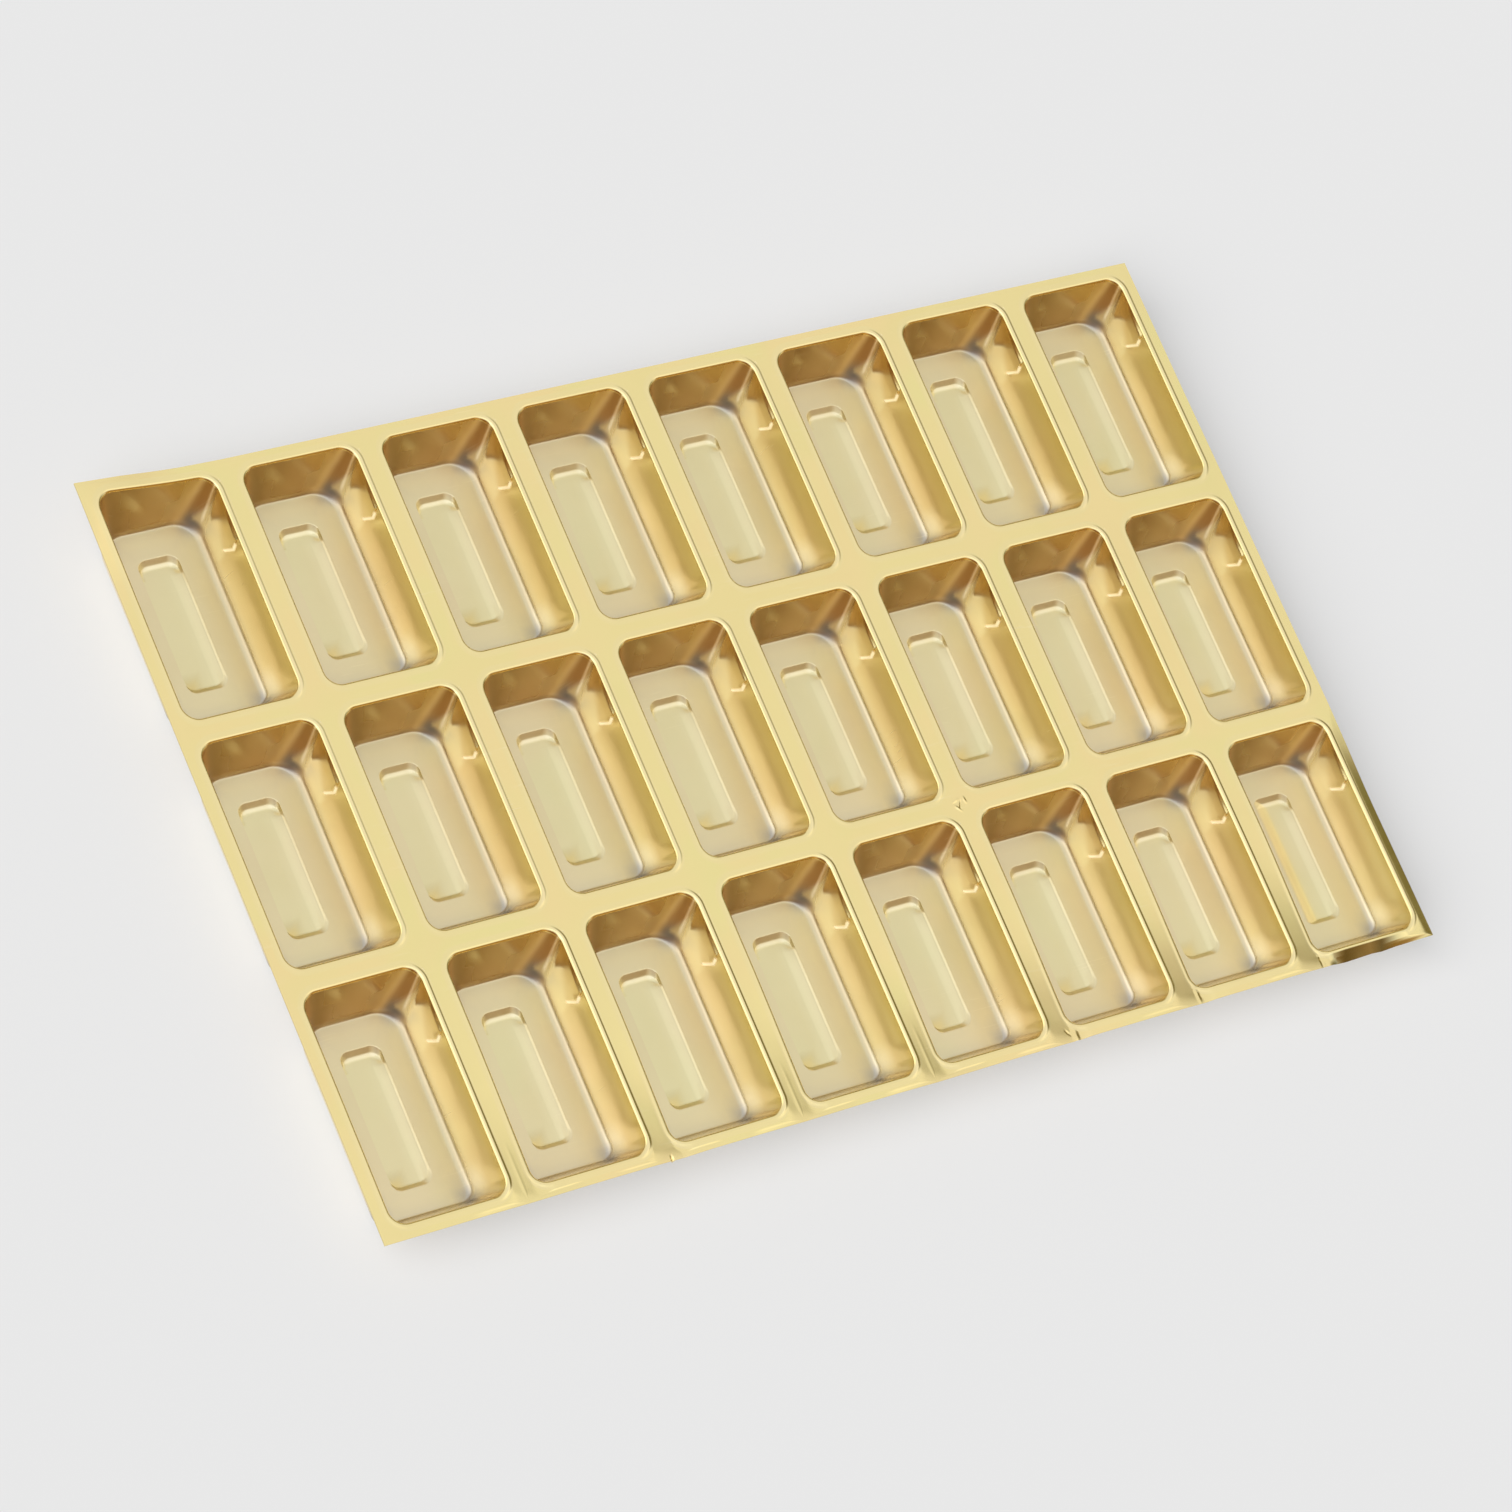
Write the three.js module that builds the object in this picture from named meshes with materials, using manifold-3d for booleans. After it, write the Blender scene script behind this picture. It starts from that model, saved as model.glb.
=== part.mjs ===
// Formed insert tray: a flat deck with rows of drafted pockets hanging through it.
// Millimetres, +Z up. X runs along the columns' row, +Y points to row a, the far row.
// The origin lies under the middle of the deck, on the surface that the tray stands on.

import * as THREE from "three";
import { mergeVertices } from "three/addons/utils/BufferGeometryUtils.js";
import Module from "manifold-3d";

// Deck sheet and the grid of pockets
const SHEET_WIDTH = 300;
const SHEET_LENGTH = 190;
const DECK_THICKNESS = 0.5;
const COLUMNS = 8;
const ROWS = 3;
const SIDE_MARGIN = 4;
const END_MARGIN = 3.4;
const COLUMN_WEB = 7.1;
const ROW_WEB = 6;

// Pocket, measured on its inside face, with depths taken from the top of the deck
const POCKET_DEPTH = 13;
const WALL = 0.4;
const MOUTH_RADIUS = 4;
const SIDE_DRAFT = THREE.MathUtils.degToRad(9.4);
const END_DRAFT = THREE.MathUtils.degToRad(18.8);
const FLOOR_RADIUS = 4.5;
const FLOOR_FILLET = 1.8;

// Sunk panel in the floor, which is what the tray stands on
const PANEL_WIDTH = 10;
const PANEL_END_BORDER = 6.8;
const PANEL_DEPTH = 1.2;
const PANEL_RADIUS = 2.5;
const PANEL_SIDE_SLOPE = 0.35;
const PANEL_END_SLOPE = 1.5;

// Raised rim round the mouth, which lies on the deck
const RIM_WIDTH = 1.5;
const RIM_HEIGHT = 0.4;
const RIM_SLOPE = 0.4;
const HOLE_CLEARANCE = 0.3;

// Stacking lug: an upright step in the +X wall, close to the far end
const LUG_LENGTH = 8;
const LUG_END_DISTANCE = 9;
const LUG_TOP = 1.9;
const LUG_REACH = 0.9;
const LUG_RADIUS = 0.8;

// Facets, and how far a cutting solid runs past the face that it cuts
const CORNER_STEPS = 3;
const LUG_STEPS = 2;
const LARGEST_CORNER = 0.45;
const CUT_OVER = 2;

// Pockets share what the margins and webs leave of the sheet
const MOUTH_WIDTH = (SHEET_WIDTH - 2 * SIDE_MARGIN - (COLUMNS - 1) * COLUMN_WEB) / COLUMNS;
const MOUTH_LENGTH = (SHEET_LENGTH - 2 * END_MARGIN - (ROWS - 1) * ROW_WEB) / ROWS;
const COLUMN_PITCH = MOUTH_WIDTH + COLUMN_WEB;
const ROW_PITCH = MOUTH_LENGTH + ROW_WEB;

// Heights of the inside faces and of the deck
const PANEL_Z = WALL;
const FLOOR_Z = PANEL_Z + PANEL_DEPTH;
const DECK_Z = FLOOR_Z + POCKET_DEPTH;
const RIM_Z = DECK_Z + RIM_HEIGHT;

const wasm = await Module();
wasm.setup();

// Points of a rounded rectangle, counter-clockwise, with the same count whatever its size.
function ringPoints({ width, length, radius, z }) {
  const r = Math.min(radius, LARGEST_CORNER * width, LARGEST_CORNER * length);
  const corners = [[1, 1], [-1, 1], [-1, -1], [1, -1]];
  return corners.flatMap(([sideX, sideY], quarter) => {
    const x = sideX * (width / 2 - r);
    const y = sideY * (length / 2 - r);
    return Array.from({ length: CORNER_STEPS + 1 }, (_, step) => {
      const angle = (quarter + step / CORNER_STEPS) * (Math.PI / 2);
      return new THREE.Vector3(x + r * Math.cos(angle), y + r * Math.sin(angle), z);
    });
  });
}

// Closed solid through a stack of rings, lowest first, with a flat cap at each end.
function loft(rings) {
  const loops = rings.map(ringPoints);
  const count = loops[0].length;
  const index = [];
  for (let level = 0; level + 1 < loops.length; level++) {
    for (let i = 0; i < count; i++) {
      const a = level * count + i;
      const b = level * count + ((i + 1) % count);
      index.push(a, b, b + count, a, b + count, a + count);
    }
  }
  const top = (loops.length - 1) * count;
  for (let i = 1; i + 1 < count; i++) {
    index.push(0, i + 1, i);
    index.push(top, top + i, top + i + 1);
  }
  return new THREE.BufferGeometry().setFromPoints(loops.flat()).setIndex(index);
}

function toSolid(geometry) {
  const bare = geometry.clone();
  bare.deleteAttribute("normal");
  bare.deleteAttribute("uv");
  const merged = mergeVertices(bare);
  const vertProperties = merged.getAttribute("position").array;
  const triVerts = new Uint32Array(merged.index.array);
  return new wasm.Manifold(new wasm.Mesh({ numProp: 3, vertProperties, triVerts }));
}

function toGeometry(solid) {
  const { vertProperties, triVerts } = solid.getMesh();
  const geometry = new THREE.BufferGeometry();
  geometry.setAttribute("position", new THREE.BufferAttribute(vertProperties, 3));
  geometry.setIndex(new THREE.BufferAttribute(triVerts, 1));
  geometry.computeVertexNormals();
  return geometry;
}

// Outline of the drafted wall at a height. grow is 0 on the inside face, WALL on the outside face.
function wallRing(z, grow) {
  const below = DECK_Z - z;
  return {
    width: MOUTH_WIDTH + 2 * (grow - below * Math.tan(SIDE_DRAFT)),
    length: MOUTH_LENGTH + 2 * (grow - below * Math.tan(END_DRAFT)),
    radius: grow + THREE.MathUtils.lerp(MOUTH_RADIUS, FLOOR_RADIUS, below / POCKET_DEPTH),
    z,
  };
}

function inset(ring, distance) {
  return {
    width: ring.width - 2 * distance,
    length: ring.length - 2 * distance,
    radius: ring.radius - distance,
    z: ring.z,
  };
}

// Middle of the curve that turns the floor into the wall, with its handle at the sharp corner.
function filletMiddle(foot, corner, head) {
  const blend = (key) => (foot[key] + 2 * corner[key] + head[key]) / 4;
  return {
    width: blend("width"),
    length: blend("length"),
    radius: blend("radius"),
    z: blend("z"),
  };
}

// Sunk panel, floor and fillet of one face of the formed sheet, up to where the plain wall starts.
function floorRings(grow) {
  const floorZ = FLOOR_Z - grow;
  const corner = wallRing(floorZ, grow);
  const foot = inset(corner, FLOOR_FILLET);
  const head = wallRing(floorZ + FLOOR_FILLET, grow);
  const panelTop = {
    width: PANEL_WIDTH + 2 * grow,
    length: wallRing(FLOOR_Z, 0).length - 2 * PANEL_END_BORDER + 2 * grow,
    radius: PANEL_RADIUS + grow,
    z: floorZ,
  };
  const panelBottom = {
    width: panelTop.width - 2 * PANEL_SIDE_SLOPE,
    length: panelTop.length - 2 * PANEL_END_SLOPE,
    radius: panelTop.radius,
    z: PANEL_Z - grow,
  };
  return [panelBottom, panelTop, foot, filletMiddle(foot, corner, head), head];
}

// Upright lug with rounded free edges. shrink is 0 for its inside face, WALL for the hollow behind it.
function lug(shrink) {
  const face = wallRing(DECK_Z - LUG_TOP, 0).width / 2 - LUG_REACH + shrink;
  const far = MOUTH_LENGTH / 2 - LUG_END_DISTANCE - shrink;
  const near = far - LUG_LENGTH + 2 * shrink;
  const back = MOUTH_WIDTH / 2 + WALL + CUT_OVER;
  const top = DECK_Z - LUG_TOP - shrink;
  const outline = new THREE.Shape();
  outline.moveTo(back, near);
  outline.lineTo(back, far);
  outline.lineTo(face + LUG_RADIUS, far);
  outline.quadraticCurveTo(face, far, face, far - LUG_RADIUS);
  outline.lineTo(face, near + LUG_RADIUS);
  outline.quadraticCurveTo(face, near, face + LUG_RADIUS, near);
  const upright = { depth: top - FLOOR_Z, bevelEnabled: false, curveSegments: LUG_STEPS };
  return new THREE.ExtrudeGeometry(outline, upright).translate(0, 0, FLOOR_Z);
}

// One pocket: a thin formed shell with its rim, drafted walls, lug, fillet and sunk panel.
function pocketGeometry() {
  const seat = wallRing(DECK_Z, WALL);
  const mouth = wallRing(DECK_Z, 0);
  const rimFoot = inset(mouth, -RIM_WIDTH);
  const rimTop = { ...inset(mouth, RIM_SLOPE - RIM_WIDTH), z: RIM_Z };
  const outside = toSolid(loft([...floorRings(WALL), seat, rimFoot, rimTop]));
  const inside = toSolid(loft([...floorRings(0), wallRing(RIM_Z + CUT_OVER, 0)]));
  const dented = outside.subtract(toSolid(lug(WALL)));
  return toGeometry(dented.subtract(inside.subtract(toSolid(lug(0)))));
}

function pocketCentre(row, column) {
  return new THREE.Vector3(
    (column - (COLUMNS - 1) / 2) * COLUMN_PITCH,
    ((ROWS - 1) / 2 - row) * ROW_PITCH,
    0,
  );
}

// Flat deck with one hole for each pocket, a clearance wider than the wall that passes through it.
function deckGeometry() {
  const halfWidth = SHEET_WIDTH / 2;
  const halfLength = SHEET_LENGTH / 2;
  const sheet = new THREE.Shape();
  sheet.moveTo(-halfWidth, -halfLength);
  sheet.lineTo(halfWidth, -halfLength);
  sheet.lineTo(halfWidth, halfLength);
  sheet.lineTo(-halfWidth, halfLength);
  const hole = ringPoints(inset(wallRing(DECK_Z, WALL), -HOLE_CLEARANCE));
  for (let row = 0; row < ROWS; row++) {
    for (let column = 0; column < COLUMNS; column++) {
      const centre = pocketCentre(row, column);
      const points = hole.map((point) => new THREE.Vector2(point.x + centre.x, point.y + centre.y));
      sheet.holes.push(new THREE.Path(points));
    }
  }
  const plate = { depth: DECK_THICKNESS, bevelEnabled: false };
  return new THREE.ExtrudeGeometry(sheet, plate).translate(0, 0, DECK_Z - DECK_THICKNESS);
}

function goldFilm(color, roughness) {
  return new THREE.MeshStandardMaterial({ color, roughness, metalness: 0.9, flatShading: true });
}

const tray = new THREE.Group();
const deck = new THREE.Mesh(deckGeometry(), goldFilm(0xeed98c, 0.3));
deck.name = "deck";
tray.add(deck);

// Rows are lettered from the far side, and columns are numbered from the left.
const formedPocket = pocketGeometry();
const pocketFilm = goldFilm(0xd9c88f, 0.35);
for (let row = 0; row < ROWS; row++) {
  for (let column = 0; column < COLUMNS; column++) {
    const pocket = new THREE.Mesh(formedPocket, pocketFilm);
    pocket.name = `pocket_${String.fromCharCode("a".charCodeAt(0) + row)}${column + 1}`;
    pocket.position.copy(pocketCentre(row, column));
    tray.add(pocket);
  }
}

export default tray;
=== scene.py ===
# %% [markdown]
# # A gold insert tray, formed from one sheet of film
# The real object is a thin sheet of gold metallised plastic. It was heated and drawn into a mould, which made
# 24 pockets in three rows, and then trimmed square. It keeps sweets apart in a gift box.
#
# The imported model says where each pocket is. This lesson rebuilds the film there as a fine mesh, gives it the
# bends and dents of thin film, and then its gold coat.

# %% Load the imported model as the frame
import math
from collections import namedtuple

import bmesh
import bpy
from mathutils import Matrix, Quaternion, Vector


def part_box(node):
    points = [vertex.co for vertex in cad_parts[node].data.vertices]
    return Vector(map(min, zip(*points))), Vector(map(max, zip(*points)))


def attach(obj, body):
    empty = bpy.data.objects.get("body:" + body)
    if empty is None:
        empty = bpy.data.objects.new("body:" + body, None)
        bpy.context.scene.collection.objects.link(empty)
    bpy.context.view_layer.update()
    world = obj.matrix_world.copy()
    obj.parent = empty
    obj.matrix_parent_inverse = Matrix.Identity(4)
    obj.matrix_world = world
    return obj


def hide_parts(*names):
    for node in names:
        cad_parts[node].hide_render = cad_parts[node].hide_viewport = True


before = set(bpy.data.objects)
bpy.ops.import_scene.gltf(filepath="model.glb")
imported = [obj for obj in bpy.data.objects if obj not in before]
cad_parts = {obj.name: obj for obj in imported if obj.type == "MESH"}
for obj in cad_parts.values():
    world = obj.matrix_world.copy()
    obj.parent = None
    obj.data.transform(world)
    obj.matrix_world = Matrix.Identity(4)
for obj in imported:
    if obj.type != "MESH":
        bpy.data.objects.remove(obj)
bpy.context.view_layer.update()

MM = 0.001
deck_low, deck_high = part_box("deck")
DECK_TOP = deck_high.z
pocket_names = sorted(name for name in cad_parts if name.startswith("pocket"))
print("sheet", [round(side / MM, 1) for side in deck_high - deck_low], "mm, pockets:", len(pocket_names))

# %% Find the rows and columns


def middle(node):
    low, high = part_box(node)
    return Vector(((low.x + high.x) / 2, (low.y + high.y) / 2, 0))


def spread(places):
    """Different places among many, in order, to the hundredth of a millimetre."""
    return sorted({round(place / MM, 2) * MM for place in places})


columns = spread(middle(node).x for node in pocket_names)
rows = spread(middle(node).y for node in pocket_names)
PITCH_X = (columns[-1] - columns[0]) / (len(columns) - 1)
PITCH_Y = (rows[-1] - rows[0]) / (len(rows) - 1)
print(len(columns), "columns", round(PITCH_X / MM, 2), "mm apart, and", len(rows), "rows")

# %% [markdown]
# ## The camera
# The photograph looks down on the tray from its left, and is turned on its side a little. A camera can be
# placed by trial, but lines on a flat sheet say enough to work out its aim, distance, side, height and roll.
# A long lens keeps the far and near pockets almost the same size.

# %% Place the camera
PHOTO_SIDE = 1512
FOCAL_PIXELS = 6188
SENSOR_WIDTH = 36
AIM = Vector((-10.2 * MM, -7.0 * MM, DECK_TOP))
CAMERA_DISTANCE = 1460 * MM
CAMERA_AZIMUTH = math.radians(-64.1)
CAMERA_ELEVATION = math.radians(54.94)
CAMERA_ROLL = math.radians(44.8)


def direction(azimuth, elevation):
    """Unit vector towards a place on the sky. Azimuth 0 is near, and positive angles turn right."""
    level = math.cos(elevation)
    return Vector((math.sin(azimuth) * level, -math.cos(azimuth) * level, math.sin(elevation)))


def add_object(name, data):
    made = bpy.data.objects.new(name, data)
    bpy.context.scene.collection.objects.link(made)
    return made


def look_from(thing, side, roll=0):
    """Turns a camera or a lamp so that it looks at the tray from a side."""
    thing.rotation_mode = "QUATERNION"
    thing.rotation_quaternion = (-side).to_track_quat("-Z", "Y") @ Quaternion((0, 0, 1), roll)


lens = bpy.data.cameras.new("photo_camera")
lens.sensor_width = SENSOR_WIDTH
lens.lens = SENSOR_WIDTH * FOCAL_PIXELS / PHOTO_SIDE
camera = add_object("photo_camera", lens)
towards_camera = direction(CAMERA_AZIMUTH, CAMERA_ELEVATION)
camera.location = AIM + CAMERA_DISTANCE * towards_camera
look_from(camera, towards_camera, CAMERA_ROLL)
bpy.context.scene.camera = camera
print("camera at", [round(place, 3) for place in camera.location], "with a lens of", round(lens.lens, 1))

# %% [markdown]
# ## One formed pocket
# A drawn pocket is a stack of rounded rectangles, from the foot of its raised rim over the crown and down the
# drafted wall to the floor and the panel sunk into it. Its two ends lean by different angles, and the near
# corners are tighter. One could join lists of points, but an inset does it with less work: start from one
# flat face with rounded corners, inset it, and carry the new inner loop to the next rectangle, and so on.

# %% Sizes of a pocket
RIM_WIDTH = 1.5 * MM
SIDE_DRAFT = math.radians(9.4)
FAR_DRAFT = math.radians(18.8)
NEAR_DRAFT = math.radians(16.6)
MOUTH_RADIUS = 4 * MM
FLOOR_RADIUS = 7 * MM
NEAR_FLOOR_RADIUS = 3.4 * MM
POCKET_DEPTH = 13 * MM

FLOOR_HEIGHT = DECK_TOP - POCKET_DEPTH
pocket_low, pocket_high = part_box(pocket_names[0])
MOUTH_HALF_X = (pocket_high.x - pocket_low.x) / 2 - RIM_WIDTH
MOUTH_HALF_Y = (pocket_high.y - pocket_low.y) / 2 - RIM_WIDTH
print("mouth", round(2 * MOUTH_HALF_X / MM, 2), "by", round(2 * MOUTH_HALF_Y / MM, 2), "mm")

# %% Rounded rectangles of the formed film
Ring = namedtuple("Ring", "half_x half_y radius near_radius z rise middle_y", defaults=[0, 0])


def blend(start, end, share):
    return start + (end - start) * share


def far_line(depth):
    return MOUTH_HALF_Y - depth * math.tan(FAR_DRAFT)


def near_line(depth):
    return depth * math.tan(NEAR_DRAFT) - MOUTH_HALF_Y


def film_ring(outward, depth, rise=0):
    """Outline at a depth below the deck, a distance outward from the line of the drafted wall. Its rise is
    how much of its height it owes to the rim, which runs out on the short sides."""
    return Ring(
        MOUTH_HALF_X - depth * math.tan(SIDE_DRAFT) + outward,
        (far_line(depth) - near_line(depth)) / 2 + outward,
        blend(MOUTH_RADIUS, FLOOR_RADIUS, depth / POCKET_DEPTH) + outward,
        blend(MOUTH_RADIUS, NEAR_FLOOR_RADIUS, depth / POCKET_DEPTH) + outward,
        DECK_TOP - depth + rise,
        rise,
        (far_line(depth) + near_line(depth)) / 2,
    )


floor_ring = film_ring(0, POCKET_DEPTH)
print("floor", round(2 * floor_ring.half_x / MM, 2), "by", round(2 * floor_ring.half_y / MM, 2), "mm")

# %% Rings of the rim and of the wall
RIM_HEIGHT = 0.11 * MM
RIM_SLOPE = 0.75 * MM
RIM_ROLL = 0.5 * MM
FLOOR_FILLET = 1.7 * MM
RIM_STEPS = 10
ROLL_STEPS = 7
WALL_STEP = 0.3 * MM
QUARTER_TURN = math.pi / 2


def ease(share):
    """Runs from 0 to 1 with a level start and end."""
    share = min(max(share, 0), 1)
    return share * share * (3 - 2 * share)


def shares(count):
    return [step / count for step in range(1, count + 1)]


def spaced(low, high, step):
    """Even places after the lower limit, up to the higher one, about a step apart."""
    return [blend(low, high, share) for share in shares(max(1, round((high - low) / step)))]


def rim_rings():
    for share in shares(RIM_STEPS):
        yield film_ring(RIM_WIDTH - share * RIM_SLOPE, 0, ease(share) * RIM_HEIGHT)
    for share in shares(ROLL_STEPS):
        turn = share * QUARTER_TURN
        yield film_ring(RIM_ROLL * (1 - math.sin(turn)), RIM_ROLL * (1 - math.cos(turn)), RIM_HEIGHT)


def wall_rings():
    for depth in spaced(RIM_ROLL, POCKET_DEPTH - FLOOR_FILLET, WALL_STEP):
        yield film_ring(0, depth)


print("rings in the rim:", len(list(rim_rings())), "and in the wall:", len(list(wall_rings())))

# %% Rings of the fillet and of the floor
END_FILLET = 0.6 * MM
FILLET_STEPS = 9
FLOOR_STEPS = (0.5 * MM, 1.2 * MM, 2.2 * MM)
LEAST_RADIUS = 0.3 * MM


def fillet_rings():
    """The fillet is broad along the long walls and tight along the short ones."""
    for share in shares(FILLET_STEPS):
        turn = share * QUARTER_TURN
        inward = 1 - math.cos(turn)
        ring = film_ring(-FLOOR_FILLET * inward, POCKET_DEPTH - FLOOR_FILLET * (1 - math.sin(turn)))
        yield ring._replace(half_y=ring.half_y + (FLOOR_FILLET - END_FILLET) * inward)


def grown(ring, outward):
    """The same ring, larger all round, or smaller where the distance is negative."""
    return ring._replace(
        half_x=ring.half_x + outward,
        half_y=ring.half_y + outward,
        radius=ring.radius + outward,
        near_radius=max(ring.near_radius + outward, LEAST_RADIUS),
    )


def floor_rings():
    """Rings on the flat floor close to the fillet, so that marks there don't spread over it."""
    last = list(fillet_rings())[-1]
    for inward in FLOOR_STEPS:
        yield grown(last, -inward)


print("rings in the fillet:", len(list(fillet_rings())), "and on the floor:", len(list(floor_rings())))

# %% Rings of the sunk panel
PANEL_DEPTH = 1.2 * MM
PANEL_WIDTH = 10.7 * MM
PANEL_FAR_BORDER = 7.4 * MM
PANEL_NEAR_BORDER = 6.7 * MM
PANEL_RADIUS = 2.6 * MM
PANEL_SIDE_SLOPE = 0.45 * MM
PANEL_SIDE_HOLLOW = 1.3
PANEL_NEAR_SLOPE = 1.2 * MM
PANEL_FAR_SLOPE = 1.4 * MM
PANEL_FAR_FOOT = 1.1 * MM
PANEL_FOOT_SHARE = 0.22
PANEL_STEPS = 10
PANEL_RIGHT = PANEL_WIDTH / 2
PANEL_FAR = far_line(POCKET_DEPTH) - PANEL_FAR_BORDER
PANEL_NEAR = near_line(POCKET_DEPTH) + PANEL_NEAR_BORDER


def panel_rings():
    """The panel's long sides drop steeply and end in a hollow. Its far end is a slope with a flat foot."""
    for share in [0] + shares(PANEL_STEPS):
        slope = min(share / (1 - PANEL_FOOT_SHARE), 1) * PANEL_FAR_SLOPE
        foot = max(share - 1 + PANEL_FOOT_SHARE, 0) / PANEL_FOOT_SHARE * PANEL_FAR_FOOT
        near = PANEL_NEAR + share * PANEL_NEAR_SLOPE
        far = PANEL_FAR - slope - foot
        yield Ring(
            PANEL_RIGHT - share ** PANEL_SIDE_HOLLOW * PANEL_SIDE_SLOPE,
            (far - near) / 2,
            PANEL_RADIUS,
            PANEL_RADIUS,
            FLOOR_HEIGHT - share * PANEL_DEPTH,
            0,
            (far + near) / 2,
        )


print("panel", round(PANEL_WIDTH / MM, 2), "by", round((PANEL_FAR - PANEL_NEAR) / MM, 2), "mm")

# %% The stack of rings, from the deck down to the sunk panel
APRON = 0.4 * MM
SEAM = 0.05 * MM
PANEL_LIP = 0.25 * MM

apron = film_ring(RIM_WIDTH + APRON, 0)
lip = grown(next(panel_rings()), PANEL_LIP)  # keeps the floor flat up to the panel
formed_rings = [
    film_ring(RIM_WIDTH + APRON - SEAM, 0),
    film_ring(RIM_WIDTH, 0),
    *rim_rings(),
    *wall_rings(),
    *fillet_rings(),
    *floor_rings(),
    lip,
    *panel_rings(),
]
print("rings in a pocket:", len(formed_rings) + 1)

# %% Draw a rounded rectangle and carry its loop from ring to ring
CORNER_SEGMENTS = 14
ROUND_PROFILE = 0.5
LEFT_RISE = 0.4


def rounded_face(bm, ring):
    """One flat face with rounded corners, about the origin."""
    corners = bmesh.ops.create_grid(bm, x_segments=1, y_segments=1, size=1)["verts"]
    bmesh.ops.scale(bm, vec=(ring.half_x, ring.half_y, 1), verts=corners)
    bmesh.ops.translate(bm, vec=(0, 0, ring.z), verts=corners)
    bmesh.ops.bevel(bm, geom=corners, offset=ring.radius, offset_type="OFFSET", affect="VERTICES",
                    segments=CORNER_SEGMENTS, profile=ROUND_PROFILE)
    return max(bm.faces, key=lambda face: face.calc_area())


def carry(verts, old, new):
    """Moves a loop to the next rounded rectangle, each point outwards from its own corner."""
    for vert in verts:
        side_x = math.copysign(1, vert.co.x)
        side_y = math.copysign(1, vert.co.y - old.middle_y)
        old_radius, new_radius = (ring.radius if side_y > 0 else ring.near_radius for ring in (old, new))
        out_x = (vert.co.x - side_x * (old.half_x - old_radius)) / old_radius
        out_y = (vert.co.y - old.middle_y - side_y * (old.half_y - old_radius)) / old_radius
        vert.co.x = side_x * (new.half_x - new_radius) + new_radius * out_x
        vert.co.y = new.middle_y + side_y * (new.half_y - new_radius) + new_radius * out_y
        kept_rise = ease(abs(out_x)) * (LEFT_RISE if side_x < 0 else 1)
        vert.co.z = new.z - new.rise * (1 - kept_rise)


def inset_through(bm, rings):
    """Draws the first ring as a face and insets it to each of the next. Gives back the innermost face."""
    inner = rounded_face(bm, rings[0])
    for old, new in zip(rings, rings[1:]):
        bmesh.ops.inset_individual(bm, faces=[inner], thickness=0, depth=0)
        carry(inner.verts, old, new)
    return inner


pocket_form = bmesh.new()
inset_through(pocket_form, [apron] + formed_rings)
print("formed pocket:", len(pocket_form.verts), "points,", len(pocket_form.faces), "faces")

# %% [markdown]
# ## The stacking lug
# Each right-hand wall has a lug near its far end: a short stretch of wall that stands upright while the rest
# leans. On a stack of trays the lugs hold the next tray up, so that the sheets don't jam. A separate block
# would leave a seam. On film it is the wall itself that is pushed inwards, so here the wall is cut by upright
# planes, and the new points slide inwards.

# %% Cut the long faces
CUT_STEP = 4 * MM
RIGHT = Vector((1, 0, 0))
FAR = Vector((0, 1, 0))


def cut_film(bm, normal, places, faces=None):
    """Cuts faces with upright planes. With no faces named it cuts the whole piece."""
    region = {face for face in faces or bm.faces if face.is_valid}
    for place in places:
        edges = {edge for face in region for edge in face.edges}
        verts = {vert for edge in edges for vert in edge.verts}
        cut = bmesh.ops.bisect_plane(bm, geom=[*verts, *edges, *region],
                                     plane_co=normal * place, plane_no=normal)
        region = {item for item in cut["geom"] if isinstance(item, bmesh.types.BMFace)}
    return region


STRAIGHT_X = apron.half_x - apron.radius
STRAIGHT_Y = apron.half_y - apron.radius
CUTS_X = spaced(-STRAIGHT_X, STRAIGHT_X, CUT_STEP)[:-1]
CUTS_Y = spaced(-STRAIGHT_Y, STRAIGHT_Y, CUT_STEP)[:-1]
cut_film(pocket_form, RIGHT, CUTS_X)
cut_film(pocket_form, FAR, CUTS_Y)
print("after the cuts:", len(pocket_form.verts), "points")

# %% Cut the right-hand wall closer where the lug will be
LUG_LENGTH = 13 * MM
LUG_END_DISTANCE = 5.1 * MM
LUG_NEAR_SPAN = 4 * MM
LUG_FINE_CUT = 0.15 * MM
LUG_CUT = 0.5 * MM
LUG_FAR = MOUTH_HALF_Y - LUG_END_DISTANCE
LUG_NEAR = LUG_FAR - LUG_LENGTH
LUG_BODY = LUG_NEAR + LUG_NEAR_SPAN

right_wall = [face for face in pocket_form.faces
              if face.calc_center_median().x > floor_ring.half_x - FLOOR_FILLET
              and face.calc_center_median().z < DECK_TOP]
right_wall = cut_film(pocket_form, FAR, spaced(LUG_NEAR - LUG_CUT, LUG_BODY, LUG_FINE_CUT), right_wall)
cut_film(pocket_form, FAR, spaced(LUG_BODY, LUG_FAR, LUG_CUT), right_wall)
print("after the closer cuts:", len(pocket_form.verts), "points")

# %% Push the lug in
LUG_REACH = 0.38 * MM
LUG_TOP = 0.33 * MM
LUG_LEDGE = 0.7 * MM
LUG_SHOULDER = 3.6 * MM
LUG_FOOT = 8.6 * MM
LUG_NOSE = 3.3 * MM
LUG_NEAR_RUN = 0.7 * MM
LUG_TAPER = 0.45


def lug_near_end(depth):
    return LUG_NEAR + LUG_TAPER * abs(depth - LUG_NOSE)


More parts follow.
